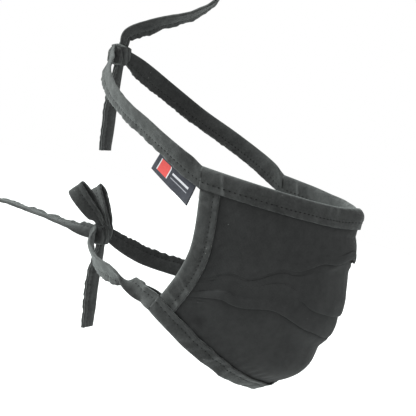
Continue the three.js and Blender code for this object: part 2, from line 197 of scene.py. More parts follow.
# Section through one fold: along and over are shares of the lip, out of the depth.
FOLD_SECTION = table(
    "along over out",
    (-1.6, 0, 0.44),
    (-0.6, 0.5, 0.54),
    (-0.2, 1.2, 0.36),
    (0, 0, -0.05),
    (0.15, -1.2, -0.45),
    (0.6, -0.4, -0.62),
    (1.6, 0, -0.44),
)

# Rows of wall between one crease or tape edge and the next
STRIP_ROWS = (0, 4, 3, 1, 3, 0, 0)

# Dents in the panel, the same on both sides: deep is a share of the dent depth.
DENTS = table(
    "across down wide tall deep",
    (0.8, 0.84, 0.07, 0.09, 0.45),
    (0.52, 0.76, 0.16, 0.08, 0.3),
    (0.62, 0.3, 0.18, 0.09, 0.25),
    (0.12, 0.66, 0.22, 0.06, 0.55),
    (0.1, 0.1, 0.25, 0.05, 0.25),
    (0.1, 0.3, 0.25, 0.06, 0.5),
)

# Ridges pressed across the edge tapes: slant is how far one shifts along the
# tape for each millimetre in from its folded edge.
TOP_RIDGES = table(
    "across high slant wide",
    (-0.9, 1, 0.1, 0.9),
    (0.9, 1, -0.1, 0.9),
    (-0.42, 0.4, 0.3, 1.6),
)
SIDE_RIDGES = table(
    "share high slant wide",
    (0.12, 0.5, 0.3, 1.2),
    (0.47, 0.5, -0.4, 1.5),
    (0.69, 0.7, 0.5, 1.3),
    (0.77, -0.6, 0.5, 2),
    (0.85, 0.8, 0.3, 1.3),
)
BOTTOM_RIDGES = table(
    "across high slant wide",
    (-0.78, 0.8, 0.4, 1.6),
    (-0.7, -0.9, 0.5, 2.4),
    (-0.6, 1, 0.2, 1.5),
    (-0.53, -0.6, 0.3, 2),
    (-0.44, 0.9, -0.2, 1.6),
    (-0.2, 0.7, 0.8, 1.4),
    (0.24, 0.7, -0.4, 1.6),
    (0.58, 0.9, 0.3, 1.5),
    (0.74, 0.7, -0.5, 1.7),
)

# Routes of the ties: reach and lift are shares of the way from the panel's corner
# to the knot, side is a share of the form's half width, turn is the twist in degrees.
TOP_TIE_ROUTE = table(
    "reach lift side width turn",
    (0.2, 0.18, 0.95, 1, -26),
    (0.4, 0.34, 0.91, 1, -30),
    (0.62, 0.51, 0.8, 1, -30),
    (0.81, 0.71, 0.6, 1, -16),
    (0.93, 0.88, 0.33, 1, 0),
)
NAPE_TIE_ROUTE = table(
    "reach lift side width turn",
    (0.1, 0.12, 0.81, 1, 0),
    (0.24, 0.26, 0.8, 0.8, 70),
    (0.34, 0.3, 0.77, 0.8, 150),
    (0.46, 0.33, 0.73, 1, 180),
    (0.7, 0.43, 0.56, 1, 180),
    (0.86, 0.62, 0.39, 1, 180),
)

# Bow loop: reach is a share of its length, side of its opening. The outward axis of
# the tape turns from facing across to facing along as the tape rounds the tip.
BOW_LOOP = table(
    "reach side face_across face_along width",
    (0, -0.19, 1, 0, 0.6),
    (0.35, 0.02, 1, 0, 0.8),
    (0.75, 0.06, 0.9, 0.3, 0.9),
    (0.96, -0.12, 0.6, 0.8, 0.9),
    (1, -0.38, 0, 1, 0.9),
    (0.96, -0.64, -0.6, 0.8, 0.9),
    (0.75, -0.8, -0.9, 0.3, 0.9),
    (0.35, -0.74, -1, 0, 0.8),
    (0, -0.58, -1, 0, 0.6),
)

# Free tails: side, back and rise are shares of the tail's length, and face is the
# outward axis of the tape there.
LONG_TAIL_ROUTE = table(
    "side back rise face width",
    (0, 0, 0, (-1, 0, 0.2), 0.7),
    (-0.01, 0.22, 0, (-0.15, 0, 1), 0.9),
    (0, 0.45, 0.02, (-0.05, 0, 1), 1),
    (0.01, 0.68, 0.03, (-0.02, 0, 1), 1),
    (0, 1, 0.04, (0.02, 0, 1), 1),
)
CROWN_TAIL_ROUTE = table(
    "side back rise face width",
    (0, 0, 0, (0, 1, 0), 0.7),
    (0.02, -0.02, 0.1, (0, 1, 0.1), 0.9),
    (0.17, -0.22, 0.25, (0.2, 0.8, 0.6), 1),
    (0.24, -0.45, 0.37, (0.1, 0.6, 0.8), 1),
    (0.25, -0.6, 0.47, (-0.1, 0.6, 0.8), 1),
    (0.24, -0.68, 0.56, (-0.4, 0.8, 0.5), 1),
)
HANGING_TAIL_ROUTE = table(
    "side back rise face width",
    (0, 0, 0, (0, 1, 0), 0.7),
    (0.03, 0.02, -0.3, (0.1, 1, 0.1), 1),
    (0.06, 0.01, -0.65, (0.1, 1, 0), 1),
    (0.08, -0.02, -1, (0, 1, 0), 1),
)

# Camera, floor and light, in metres
CAMERA_TARGET = Vector((0, 0.097, -0.024))
CAMERA_DISTANCE = 0.85
CAMERA_TURN = math.radians(25)
CAMERA_DROP = math.radians(5)
CAMERA_ROLL = math.radians(13)
CAMERA_LENS = 108.2
FLOOR_SIZE = 8
FLOOR_DROP = 0.25
WORLD_WHITE = 1.0
LIGHT_FROM = Vector((-0.30, 0.80, 0.52))
LIGHT_SPREAD = math.radians(25)
LIGHT_STRENGTH = 8.6
LIGHT_COLOUR = (0.95, 1.0, 0.98)


def clamp(value, low=0.0, high=1.0):
    return max(low, min(high, value))


def lerp(start, end, share):
    return start + (end - start) * share


def smooth(value, low=0.0, high=1.0):
    """Smooth rise from 0 at low to 1 at high."""
    share = clamp((value - low) / (high - low))
    return share * share * (3 - 2 * share)


def hill(value, centre, width):
    return math.exp(-(((value - centre) / width) ** 2))


def ripple(x, y, seed):
    """Smooth random value from about -1 to 1."""
    return noise.noise(Vector((x, y, seed)))


class Line:
    """Smooth line through points, read by shares of its length."""

    SAMPLES_A_SPAN = 24

    def __init__(self, points):
        self.points = [Vector(point) for point in points]
        self.spans = len(self.points) - 1
        count = self.spans * self.SAMPLES_A_SPAN
        samples = [self.at_place(index / count) for index in range(count + 1)]
        self.lengths = [0.0]
        for before, after in zip(samples, samples[1:]):
            self.lengths.append(self.lengths[-1] + (after - before).length)
        self.length = self.lengths[-1]

    def at_place(self, place):
        """Point at a place from 0 to 1, where each span takes an equal part."""
        scaled = clamp(place) * self.spans
        index = min(int(scaled), self.spans - 1)
        t = scaled - index
        b, c = self.points[index], self.points[index + 1]
        a = self.points[index - 1] if index else 2 * b - c
        d = self.points[index + 2] if index + 1 < self.spans else 2 * c - b
        start, end = (c - a) / 2, (d - b) / 2
        cubic = (2 * b - 2 * c + start + end) * t + (3 * c - 3 * b - 2 * start - end)
        return (cubic * t + start) * t + b

    def place(self, share):
        """Place of a share of the length."""
        target = clamp(share) * self.length
        index = clamp(bisect.bisect_right(self.lengths, target), 1, len(self.lengths) - 1)
        before, after = self.lengths[index - 1], self.lengths[index]
        return (index - 1 + (target - before) / (after - before)) / (len(self.lengths) - 1)

    def tangent(self, place):
        step = 0.0005
        return (self.at_place(place + step) - self.at_place(place - step)).normalized()

    def at(self, share):
        """Point at a share of the length, carried straight on past the ends."""
        place = self.place(share)
        beyond = (share - clamp(share)) * self.length
        if beyond:
            return self.at_place(place) + self.tangent(place) * beyond
        return self.at_place(place)


def panel_line(rows):
    """Line down the unfolded panel through rows of shares. A row with no out is in the middle."""
    places = [
        (row.get("out", 0) * PANEL_HALF_WIDTH, row["back"] * PANEL_DEPTH, -row["down"] * PANEL_DROP)
        for row in rows
    ]
    return Line(places)


middle_line, side_line = panel_line(MIDDLE_LINE), panel_line(SIDE_LINE)


def panel_point(across, down):
    """Unfolded panel: across runs from -1 to 1, down from 0 at the top edge to 1."""
    middle, side = middle_line.at(down), side_line.at(down)
    wrap = (1 - math.cos(across * PANEL_SWEEP)) / (1 - math.cos(PANEL_SWEEP))
    out = side.x * math.sin(across * PANEL_SWEEP) / math.sin(PANEL_SWEEP)
    return Vector((out, lerp(middle.y, side.y, wrap), lerp(middle.z, side.z, wrap)))


def panel_axes(across, down):
    """Axes on the unfolded panel: across it, down it and out from its front."""
    step = 0.01
    across_axis = (panel_point(across + step, down) - panel_point(across - step, down)).normalized()
    down_axis = (panel_point(across, down + step) - panel_point(across, down - step)).normalized()
    return across_axis, down_axis, down_axis.cross(across_axis).normalized()


def share_of(length, edge, tenth):
    """Share of the panel that a length takes at an edge, by the way to a tenth in from it."""
    return length / (10 * (panel_point(*edge) - panel_point(*tenth)).length)


def share_from_top(across, length):
    return share_of(length, (across, 0), (across, 0.1))


def share_from_bottom(across, length):
    return share_of(length, (across, 1), (across, 0.9))


def share_from_side(down, length):
    return share_of(length, (1, down), (0.9, down))


def at_station(values, across):
    """Value of a five-station row at a place across the panel."""
    place = min(abs(across), 1) * (len(values) - 1)
    first = min(int(place), len(values) - 2)
    return lerp(values[first], values[first + 1], smooth(place - first))


def side_fade(across):
    return 1 - smooth(abs(across), FOLD_FADE_START, FOLD_FADE_END)


def dent_depth(across, down):
    depths = (
        dent["deep"]
        * DENT_DEPTH
        * hill(abs(across), dent["across"], dent["wide"])
        * hill(down, dent["down"], dent["tall"])
        for dent in DENTS
    )
    gather = GATHER_DEPTH * hill(abs(across), GATHER_PLACE - down, GATHER_WIDTH)
    return (sum(depths) + gather * smooth(down, 0.70, 0.78)) * side_fade(across)


def edge_relief(across, down):
    """Lift that the panel and its bindings share: the pinch at the nose and slack in the edges."""
    top, bottom = hill(down, 0, 0.13), hill(down, 1, 0.12)
    pinch = NOSE_PINCH * hill(across, 0.0, 0.10) * hill(down, 0.03, 0.055)
    slack = TOP_SLACK * ripple(across * 7, 0, 3.1) * top
    buckle = BOTTOM_SLACK * ripple(across * 9, 0, 8.4) * bottom
    return pinch + slack + buckle


def place_on_panel(across, down, through):
    inside_across, inside_down = clamp(across, -1, 1), clamp(down)
    out = panel_axes(inside_across, inside_down)[2]
    lift = through + edge_relief(inside_across, inside_down)
    return panel_point(across, down) + out * lift


def place_at_top(across, inward, through):
    return place_on_panel(across, share_from_top(across, inward), through)


def place_at_bottom(across, inward, through):
    return place_on_panel(across, 1 - share_from_bottom(across, inward), through)


def place_at_side(sign):
    def place(down, inward, through):
        return place_on_panel(sign * (1 - share_from_side(down, inward)), down, through)

    return place


def mesh_object(name, bm, material):
    """Object in the scene from a bmesh in metres."""
    mesh = bpy.data.meshes.new(name)
    bm.to_mesh(mesh)
    bm.free()
    mesh.materials.append(material)
    made = bpy.data.objects.new(name, mesh)
    bpy.context.scene.collection.objects.link(made)
    return made


def new_piece(name, bm, material):
    """Smooth piece that rides on the frame."""
    piece = mesh_object(name, bm, material)
    piece.data.polygons.foreach_set("use_smooth", [True] * len(piece.data.polygons))
    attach(piece, "root")
    return piece


def cloth_piece(name, bm, material, thickness, node):
    """Sheet with a thickness, half to each side, that takes the place of a CAD node."""
    piece = new_piece(name, bm, material)
    wall = piece.modifiers.new("wall", "SOLIDIFY")
    wall.thickness = thickness * MM
    wall.offset = 0
    wall.use_quality_normals = True
    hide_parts(node)
    return piece


def cloth_grid(columns, rows, place, cloth_place, wear_and_highlight):
    """Sheet of cloth: a grid whose points go where place(i, j) says, in millimetres.
    Its UV map runs along the cloth in metres, and a per-point mark holds its rubbed edges and the
    painted highlight on its ridges."""
    bm = bmesh.new()
    bmesh.ops.create_grid(bm, x_segments=columns, y_segments=rows, size=0.5)
    uv_layer = bm.loops.layers.uv.new("cloth")
    wear_and_highlight_layer = bm.verts.layers.float.new("wear_and_highlight")
    cloth = {}
    for vertex in bm.verts:
        i = round((vertex.co.x + 0.5) * columns)
        j = round((vertex.co.y + 0.5) * rows)
        vertex.co = place(i, j) * MM
        vertex[wear_and_highlight_layer] = wear_and_highlight(i, j)
        cloth[vertex] = cloth_place(i, j)
    for face in bm.faces:
        for loop in face.loops:
            along, over = cloth[loop.vert]
            loop[uv_layer].uv = (along * MM, over * MM)
    return bm


def panel_lines(across):
    """Creases and tape edges that the rows of the wall run between, from top to bottom."""
    fade = side_fade(across)
    folds = [
        (at_station(fold["down"], across), at_station(fold["deep"], across) * fade, True)
        for fold in FOLDS
    ]
    top_tape = (share_from_top(across, TAPE_WIDTH), 0, False)
    bottom_tape = (1 - share_from_bottom(across, TAPE_WIDTH), 0, False)
    return table("down deep fold", (0, 0, False), top_tape, *folds, bottom_tape, (1, 0, False))


def panel_controls(across):
    """Rows of one column: share of the way down, shift along it, lift out of it and a mark for wear
    and painted highlight.
    """
    lines = panel_lines(across)
    rows = []
    for line, after, between in zip(lines, [*lines[1:], lines[-1]], STRIP_ROWS):
        if line["fold"]:
            for row in FOLD_SECTION:
                along = (row["along"] + row["over"] * min(line["deep"], 0.8)) * FOLD_LIP
                lift = row["out"] * line["deep"] * FOLD_DEPTH
                # Painted highlight on the rounded ridge just above the crease, held in the same mark
                # as wear.
                wear_and_highlight = 0.3 * line["deep"] * hill(row["along"], -1.2, 0.6)
                rows.append((line["down"], along, lift - dent_depth(across, line["down"]), wear_and_highlight))
        else:
            rows.append((line["down"], 0, 0, 0))
        for row in range(1, between + 1):
            share = row / (between + 1)
            rise = after["deep"] * share**2 - line["deep"] * (1 - share) ** 2
            down = lerp(line["down"], after["down"], share)
            rows.append((down, 0, 0.44 * rise * FOLD_DEPTH - dent_depth(across, down), 0))
    return [Vector(row) for row in rows]


def panel_crumple(across, down):
    """Fine relief of the panel: broad slack, and puckers along the sewn tapes."""
    reach = PANEL_HALF_CUT * (1 - abs(across)) - TAPE_WIDTH
    length = lerp(middle_line.length, side_line.length, across**2)
    from_top = down * length - TAPE_WIDTH
    from_bottom = (1 - down) * length - TAPE_WIDTH
    nearest = min(reach, from_top, from_bottom)
    broad = BROAD_SLACK * ripple(across * 3.1, down * 4.1, 1.7)
    broad += FINE_SLACK * ripple(across * 9, down * 7, 5.2)
    broad *= smooth(nearest, 0, 12)
    side = hill(reach, 2, 5) * math.sin(down * length + 2.5 * ripple(down * 9, across, 2.2))
    top = hill(from_top, 2, 5) * math.sin(across * 115 + 3 * ripple(across * 9, 0, 6.2))
    bottom = hill(from_bottom, 2, 6) * math.sin(across * 100 + 3 * ripple(across * 7, 0, 9.2))
    puckers = SIDE_PUCKER * side + TOP_PUCKER * top + BOTTOM_PUCKER * bottom
    return broad + puckers * smooth(nearest, -1, 2)


def pleated_panel():
    stations = [2 * index / PANEL_COLUMNS - 1 for index in range(PANEL_COLUMNS + 1)]
    columns, lengths, wear_and_highlight = [], [], []
    for across in stations:
        controls = panel_controls(across)
        spline = Line([row.to_3d() for row in controls])
        rows = spline.spans * PANEL_ROWS_A_SPAN
        points, run, worn = [], [0.0], []
        for index in range(rows + 1):
            down, along, lift = spline.at_place(index / rows)
            _, down_axis, out = panel_axes(across, down)
            lift += panel_crumple(across, down) + edge_relief(across, down)
            points.append(panel_point(across, down) + down_axis * along + out * lift)
            place = index / PANEL_ROWS_A_SPAN
            first = min(int(place), spline.spans - 1)
            # Mark for wear and the painted highlight on fold ridges, read between the control rows.
            worn.append(lerp(controls[first][3], controls[first + 1][3], place - first))
        for before, after in zip(points, points[1:]):
            run.append(run[-1] + (after - before).length)
        columns.append(points)
        lengths.append(run)
        wear_and_highlight.append(worn)
    rows = len(columns[0]) - 1
    bm = cloth_grid(
        PANEL_COLUMNS,
        rows,
        lambda i, j: columns[i][j],
        lambda i, j: (stations[i] * PANEL_HALF_CUT, lengths[i][j]),
        lambda i, j: wear_and_highlight[i][j],
    )
    return cloth_piece(
        "panel_cloth", bm, materials["panel"], PANEL_CLOTH, "pleated_panel"
    )


class Tape:
    """Run of folded tape. spot(along, inward, through) gives a point: along its length, in
    from its folded edge and through it. radius(along) is half the way between its leaves."""

    def __init__(self, name, length, spot, radius, seed, lively, ridges=()):
        self.name, self.length, self.spot, self.radius = name, length, spot, radius
        self.seed, self.lively, self.ridges = seed, lively, ridges

    def ridge(self, along, inward):
        """Share of a pressed ridge that crosses the tape: each has a place, a slant and a width."""
        shares = (
            row["high"] * hill(along, row["along"] + row["slant"] * inward, row["wide"])
            for row in self.ridges
        )
        return sum(shares)

    def section(self, step, radius):
        """Inward, through and the run of the cloth at a step round the folded section."""
        edge = TAPE_CLOTH / 2
        leaf = TAPE_WIDTH - edge - radius
        if step < LEAF_STEPS:
            share = step / LEAF_STEPS
            return TAPE_WIDTH - share * leaf, radius, share * leaf
        step -= LEAF_STEPS
        if step <= EDGE_STEPS:
            angle = math.pi * step / EDGE_STEPS
            inward = edge + radius * (1 - math.sin(angle))
            return inward, radius * math.cos(angle), leaf + radius * angle
        share = (step - EDGE_STEPS) / LEAF_STEPS
        return edge + radius + share * leaf, -radius, leaf * (1 + share) + radius * math.pi

    def relief(self, along, inward, side):
        """Lift of a leaf: puffed between its fold and its seam, and drawn in at the seam."""
        share = inward / TAPE_WIDTH
        seed = self.seed + side
        pull = 0.7 + 0.3 * math.cos(2 * math.pi * along / STITCH_PITCH)
        seam = -SEAM_SINK * hill(inward, SEAM_SHARE * TAPE_WIDTH, SEAM_HALF_WIDTH) * pull
        puff = LEAF_PUFF * math.sin(math.pi * clamp(share / SEAM_SHARE))
        puff *= 1 + 1.6 * ripple(along / 8, share * 2.5, seed)
        lip = OPEN_LIP * smooth(share, SEAM_SHARE, 1) * (0.5 + ripple(along / 4, 0, seed + 4))
        crumple = LEAF_CRUMPLE * ripple(along / 4.5 + share * 1.5, share * 2, seed + 6)
        return seam + puff + lip + crumple + RIDGE_HEIGHT * self.ridge(along, inward)

    def surface(self, along, inward, side):
        through = side * (self.radius(along) + self.relief(along, inward, side) * self.lively)
        return self.spot(along, inward, through)

    def build(self, material, node):
        steps = max(8, round(self.length / TAPE_STEP))
        around = 2 * LEAF_STEPS + EDGE_STEPS

        def place(i, j):
            along = self.length * i / steps
            radius = self.radius(along)
            inward, through, _ = self.section(j, radius)
            side = through / radius
            lift = self.relief(along, inward, round(side) or 1) * abs(side) * self.lively
            return self.spot(along, inward, side * (radius + lift))

        def cloth_place(i, j):
            along = self.length * i / steps
            return along, self.section(j, self.radius(along))[2]

        # Wear on the folded and open edges, and paler pressed ridges, where the mark stands for a
        # painted highlight.
        def wear_and_highlight(i, j):
            edge = LEAF_STEPS + EDGE_STEPS / 2
            folded = hill(j, edge, EDGE_STEPS * 0.6)
            along = self.length * i / steps
            ridge = self.ridge(along, self.section(j, self.radius(along))[0])
            return max(folded, hill(j, 0, 0.8), hill(j, around, 0.8), clamp(ridge))

        bm = cloth_grid(steps, around, place, cloth_place, wear_and_highlight)
        return cloth_piece(self.name, bm, material, TAPE_CLOTH, node)

    def stitches(self, first, last):
        """Seam stitches on both leaves, joined into one mesh."""
        bm = bmesh.new()
        count = int((last - first) / STITCH_PITCH)
        for index in range(count):
            along = first + (index + 0.5) * STITCH_PITCH
            for side in (1, -1):
                inward = SEAM_SHARE * TAPE_WIDTH
                inward += 0.25 * ripple(along / 11, 0, self.seed + 7)
                centre = self.surface(along, inward, side)
                before, after = (self.surface(along + step, inward, side) for step in (-0.7, 0.7))
                ahead = (after - before).normalized()
                inner = self.spot(along, inward, 0)
                out = (centre - inner).normalized()
                wide = out.cross(ahead).normalized()
                out = ahead.cross(wide)
                lean = 0.12 * ripple(along, 0, self.seed + 2)
                turned = Matrix.Rotation(lean, 3, out) @ Matrix((ahead, wide, out)).transposed()
                seat = centre + out * (TAPE_CLOTH / 2 - 0.08)
                size = Matrix.Diagonal((STITCH_LENGTH, STITCH_WIDTH, STITCH_WIDTH * 0.8))
                matrix = Matrix.Translation(seat * MM) @ (turned @ size * MM).to_4x4()
                bmesh.ops.create_uvsphere(bm, u_segments=6, v_segments=4, radius=0.5, matrix=matrix)
        return new_piece(self.name + "_stitches", bm, materials["thread"])


# Half the way between a tape's leaves: on the panel, over another tape, under one, and in
# a tie. The overlap is at shares of the half width, and the other lengths run along a tape.
BINDING_RADIUS = PANEL_WALL / 2 + CLEARANCE + TAPE_WALL / 2
OVERLAP_RADIUS = 2.1
OVERLAP_START = 0.82
OVERLAP_END = 0.88
TUCK_RADIUS = 1.22
TUCK = 4
TUCK_RAMP = 3
TIE_RADIUS = 0.52
TIE_RAMP = 11
INTO_KNOT = 4


def binding(name, node, place_at, ends, radius, seed, ridges, tucked=0):
    """Tape folded over an edge of the panel. ends holds the places of its two ends along
    that edge and its length in millimetres, and tucked is how much has no stitches."""
    first, last, length = ends

    def spot(along, inward, through):
        return place_at(lerp(first, last, along / length), inward - TAPE_PAST, through)

    tape = Tape(name, length, spot, radius, seed, 1.0, ridges)
    return tape.build(materials["tape"], node), tape.stitches(tucked, length - tucked), tape


def edge_binding(name, node, place_at, down, seed, ridges):
    """Tape folded over the top or bottom edge, raised at its ends, where it covers the side tapes."""
    past = share_from_side(down, TAPE_PAST)
    first, last = -1 - past, 1 + past
    marks = [panel_point(lerp(first, last, index / 60), down) for index in range(61)]
    length = sum((after - before).length for before, after in zip(marks, marks[1:]))

    def radius(along):
        across = abs(lerp(first, last, along / length))
        return lerp(BINDING_RADIUS, OVERLAP_RADIUS, smooth(across, OVERLAP_START, OVERLAP_END))

    pressed = [dict(row, along=(row["across"] - first) / (last - first) * length) for row in ridges]
    return binding(name, node, place_at, (first, last, length), radius, seed, pressed)


def side_binding(name, node, sign, seed, ridges):
    """Tape folded over a side edge, with its ends tucked under the other two."""
    inset = TAPE_WIDTH - TAPE_WALL - TUCK
    first = share_from_top(1, inset)
    last = 1 - share_from_bottom(1, inset)
    length = (last - first) * side_line.length

    def radius(along):
        inside = min(along, length - along)
        return lerp(TUCK_RADIUS, BINDING_RADIUS, smooth(inside, TUCK, TUCK + TUCK_RAMP))

    pressed = [dict(row, along=row["share"] * length) for row in ridges]
    return binding(
        name, node, place_at_side(sign), (first, last, length), radius, seed, pressed, TUCK
    )


class Run:
    """Path of a tape through stations, each with a point, outward axis, width and turn.
    An end station may name the axis of its width, which the tape leaves it with."""

    END_SHARE = 0.12

    def __init__(self, stations):
        self.stations = stations
        self.line = Line([station["point"] for station in stations])
        self.outs = [station["out"] for station in stations]
        self.facts = Line([(station["width"], station["turn"] / 100, 0) for station in stations])
        self.length = self.line.length

    def frame(self, share):
        """Point, axis of the width, outward axis and width at a share of the length."""
        place = self.line.place(share)
        ahead = self.line.tangent(place)
        spans = len(self.outs) - 1
        first = min(int(place * spans), spans - 1)
        out = self.outs[first].lerp(self.outs[first + 1], place * spans - first)
        wide = ahead.cross(out).normalized()
        width, turn, _ = self.facts.at_place(place)
        wide = Matrix.Rotation(math.radians(turn * 100), 3, ahead) @ wide
        for station, away in ((self.stations[0], share), (self.stations[-1], 1 - share)):
            if station.get("wide"):
                wide = station["wide"].lerp(wide, smooth(away, 0, self.END_SHARE)).normalized()
        out = wide.cross(ahead).normalized()
        point = self.line.at(share)
        return point, wide, out, TAPE_WIDTH * width


def out_of_form(point):
    side, up = point.x / FORM_HALF_WIDTH**2, point.z / FORM_HALF_HEIGHT**2
    return Vector((side, (point.y - FORM_CENTRE_BACK) / FORM_HALF_DEPTH**2, up)).normalized()


def tie_stations(edge_down, place_at, route, knot, turn):
    """Stations of a tie on the wearer's right, from the end of its edge tape to its knot."""
    start = -1 - share_from_side(edge_down, 2 * CLEARANCE + TAPE_WALL)
    corner = place_at(start, TAPE_WIDTH / 2 - TAPE_PAST, 0)
    _, down_axis, out = panel_axes(-1, edge_down)
    end = Vector((-KNOT_WIDTH / 2 - CLEARANCE, knot.y, knot.z))
    facing = math.cos(math.radians(turn))
    stations = [dict(point=corner, out=out, wide=-down_axis, width=1, turn=0)]
    for row in route:
        side, back = -row["side"] * FORM_HALF_WIDTH, lerp(corner.y, knot.y, row["reach"])
        point = Vector((side, back, lerp(corner.z, knot.z, row["lift"])))
        stations.append(dict(row, point=point, out=out_of_form(point)))
    squared = dict(out=Vector((0, 1, 0)), wide=Vector((0, 0, facing)))
    stations.append(dict(point=end, width=KNOT_SQUEEZE, turn=turn, **squared))
    return stations


def mirrored(stations):
    """The same stations on the wearer's left. The axis of the width also turns end for end."""
    made = []
    for station in stations:
        flipped = dict(station, turn=-station["turn"])
        for key, signs in (("point", (-1, 1, 1)), ("out", (-1, 1, 1)), ("wide", (1, -1, -1))):
            if station.get(key):
                flipped[key] = station[key] * Vector(signs)
        made.append(flipped)
    return made


def tie_tape(
    name, node, stations, fold_side, waves, seed, start_radius=TIE_RADIUS, lead=0, tail=0
):
    """Folded tape along stations. waves is how far its open edge ripples, from start to end,
    and lead and tail are how far it runs on past its ends, into a corner or a knot."""
    run = Run(stations)
    length = run.length + lead + tail
    width_share = 1 / TAPE_WIDTH

    def spot(along, inward, through):
        share = (along - lead) / run.length
        point, wide, out, width = run.frame(share)
        open_share = clamp(inward * width_share)
        ends = smooth(min(along - lead, length - tail - along), 1, 12)
        amount = lerp(*waves, clamp(share)) * ends
        lift = OPEN_RIPPLE * ripple(along / 8, open_share * 0.6, seed) * open_share
        lift += OPEN_FLUTTER * ripple(along / 3.4, open_share * 0.9, seed + 5) * open_share**2
        scallop = abs(math.sin(math.pi * along / STITCH_PITCH / 1.5 + 2 * ripple(along / 14, 0, seed)))
        draw = OPEN_DRAW * ripple(along / 3.6, 0, seed + 9) + SCALLOP_DEPTH * (1 - scallop)
        draw *= open_share**2
        bend = TIE_BEND * ripple(along / 22, 0, seed + 3) * ends
        offset = width / 2 - (inward * width * width_share + draw * amount)
        return point + wide * fold_side * offset + out * (through + lift * amount + bend)

    def radius(along):
        return lerp(start_radius, TIE_RADIUS, smooth(along, lead, lead + TIE_RAMP))

    tape = Tape(name, length, spot, radius, seed, TIE_LIVELY)
    return tape.build(materials["tape"], node), tape.stitches(lead + 1, length - 1), tape


def tight_knot(name, node, centre, seed):
    """Knot pulled tight: slanted turns of tape with grooves between them, closed at both ends."""
    bm = bmesh.new()
    bmesh.ops.create_uvsphere(bm, u_segments=KNOT_COLUMNS, v_segments=KNOT_ROWS, radius=1)
    uv_layer = bm.loops.layers.uv.new("cloth")
    wear_and_highlight_layer = bm.verts.layers.float.new("wear_and_highlight")
    cloth = {}
    half = Vector((KNOT_WIDTH / 2, KNOT_DEPTH / 2, KNOT_HEIGHT / 2))
    for vertex in bm.verts:
        ball = vertex.co.copy()
        square = ball / max(abs(ball.x), abs(ball.y), abs(ball.z))
        point = ball.lerp(square, KNOT_SQUARENESS)
        angle = math.atan2(ball.z, ball.y)
        turn = 1.25 * ball.x + 0.42 * math.sin(angle) + 0.10 * ripple(ball.y * 2, ball.z * 2, seed)
        band = abs(math.sin(math.pi * (turn + 0.5)))
        wrinkle = ripple(angle * 1.3, turn * 9, seed + 3)
        point *= 0.80 + 0.17 * band**0.45 + 0.035 * wrinkle
        vertex.co = Vector(centre + point * half) * MM
        # Crests of the turns are marked paler than the grooves between them.
        vertex[wear_and_highlight_layer] = hill(band, 1, 0.25) * 0.5
        cloth[vertex] = (angle * half.z, turn * 10)
    full_turn = 2 * math.pi * half.z
    for face in bm.faces:
        middle = cloth[face.verts[0]][0]
        for loop in face.loops:
            along, over = cloth[loop.vert]
            along -= full_turn * round((along - middle) / full_turn)
            loop[uv_layer].uv = (along * MM, over * MM)
    bmesh.ops.recalc_face_normals(bm, faces=bm.faces)
    knot = new_piece(name, bm, materials["tape"])
    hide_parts(node)
    return knot


def bow_stations():
    """Stations of a bow loop on the wearer's right: out from the knot, round and back."""
    along = Vector((-LOOP_SPREAD, LOOP_LEAN, 1)).normalized()
    root = NAPE_KNOT + Vector((0, 0, KNOT_HEIGHT / 2 + CLEARANCE))
    stations = []
    for row in BOW_LOOP:
        point = root + along * row["reach"] * LOOP_LENGTH
        point.x += row["side"] * LOOP_OPENING
        out = (along * row["face_along"] + Vector((row["face_across"], 0, 0))).normalized()
        station = dict(point=point, out=out, width=row["width"], turn=0)
        if row["reach"] == 0:
            station["wide"] = Vector((0, 1, 0))
        stations.append(station)
    return stations


def tail_stations(knot, leaving, length, route):
    """Stations of a free tail. leaving is the way from the knot's centre to where it starts, in
    shares of the tail's offset and of the knot's half depth and half height."""
    half = Vector((TAIL_OFFSET, KNOT_DEPTH / 2 + CLEARANCE, KNOT_HEIGHT / 2 + CLEARANCE))
    root = knot + half * Vector(leaving)
    return [
        dict(
            point=root + Vector((row["side"], row["back"], row["rise"])) * length,
            out=Vector(row["face"]).normalized(),
            width=row["width"],
            turn=0,
        )
        for row in route
    ]


def woven_label(stations):
    """Label sewn into the lower edge of the right top tie, that hangs flat below its seam."""
    run = Run(stations)
    columns, rows = 60, 30

    def hung(share, down):
        along = LABEL_START + LABEL_LENGTH * share + LABEL_LEAN * down
        point, wide, out, width = run.frame(along / run.length)
        below = width / 2 - LABEL_SEWN_IN + (LABEL_DROP + LABEL_SEWN_IN) * down
        return point - wide * below

    corners = [[hung(share, down) for share in (0, 1)] for down in (0, 1)]
    out = (corners[0][1] - corners[0][0]).cross(corners[1][0] - corners[0][0]).normalized()

    def place(i, j):
        share, down = 1 - i / columns, j / rows
        top, bottom = (row[0].lerp(row[1], share) for row in corners)
        flat = top.lerp(bottom, down)
        sewn = hung(share, 0) - top
        bow = LABEL_BOW * down * (math.sin(math.pi * share) + ripple(i / 14, down, 3.3))
        return flat + sewn * (1 - smooth(down, 0, 0.35)) + out * bow

    bm = cloth_grid(
        columns,
        rows,
        place,
        lambda i, j: (LABEL_LENGTH * i / columns, LABEL_DROP * (1 - j / rows)),
        lambda i, j: max(hill(i, 0, 1), hill(i, columns, 1), hill(j, rows, 1)),
    )
    return cloth_piece(
        "woven_label", bm, materials["label"], LABEL_CLOTH, "side_label"
    )


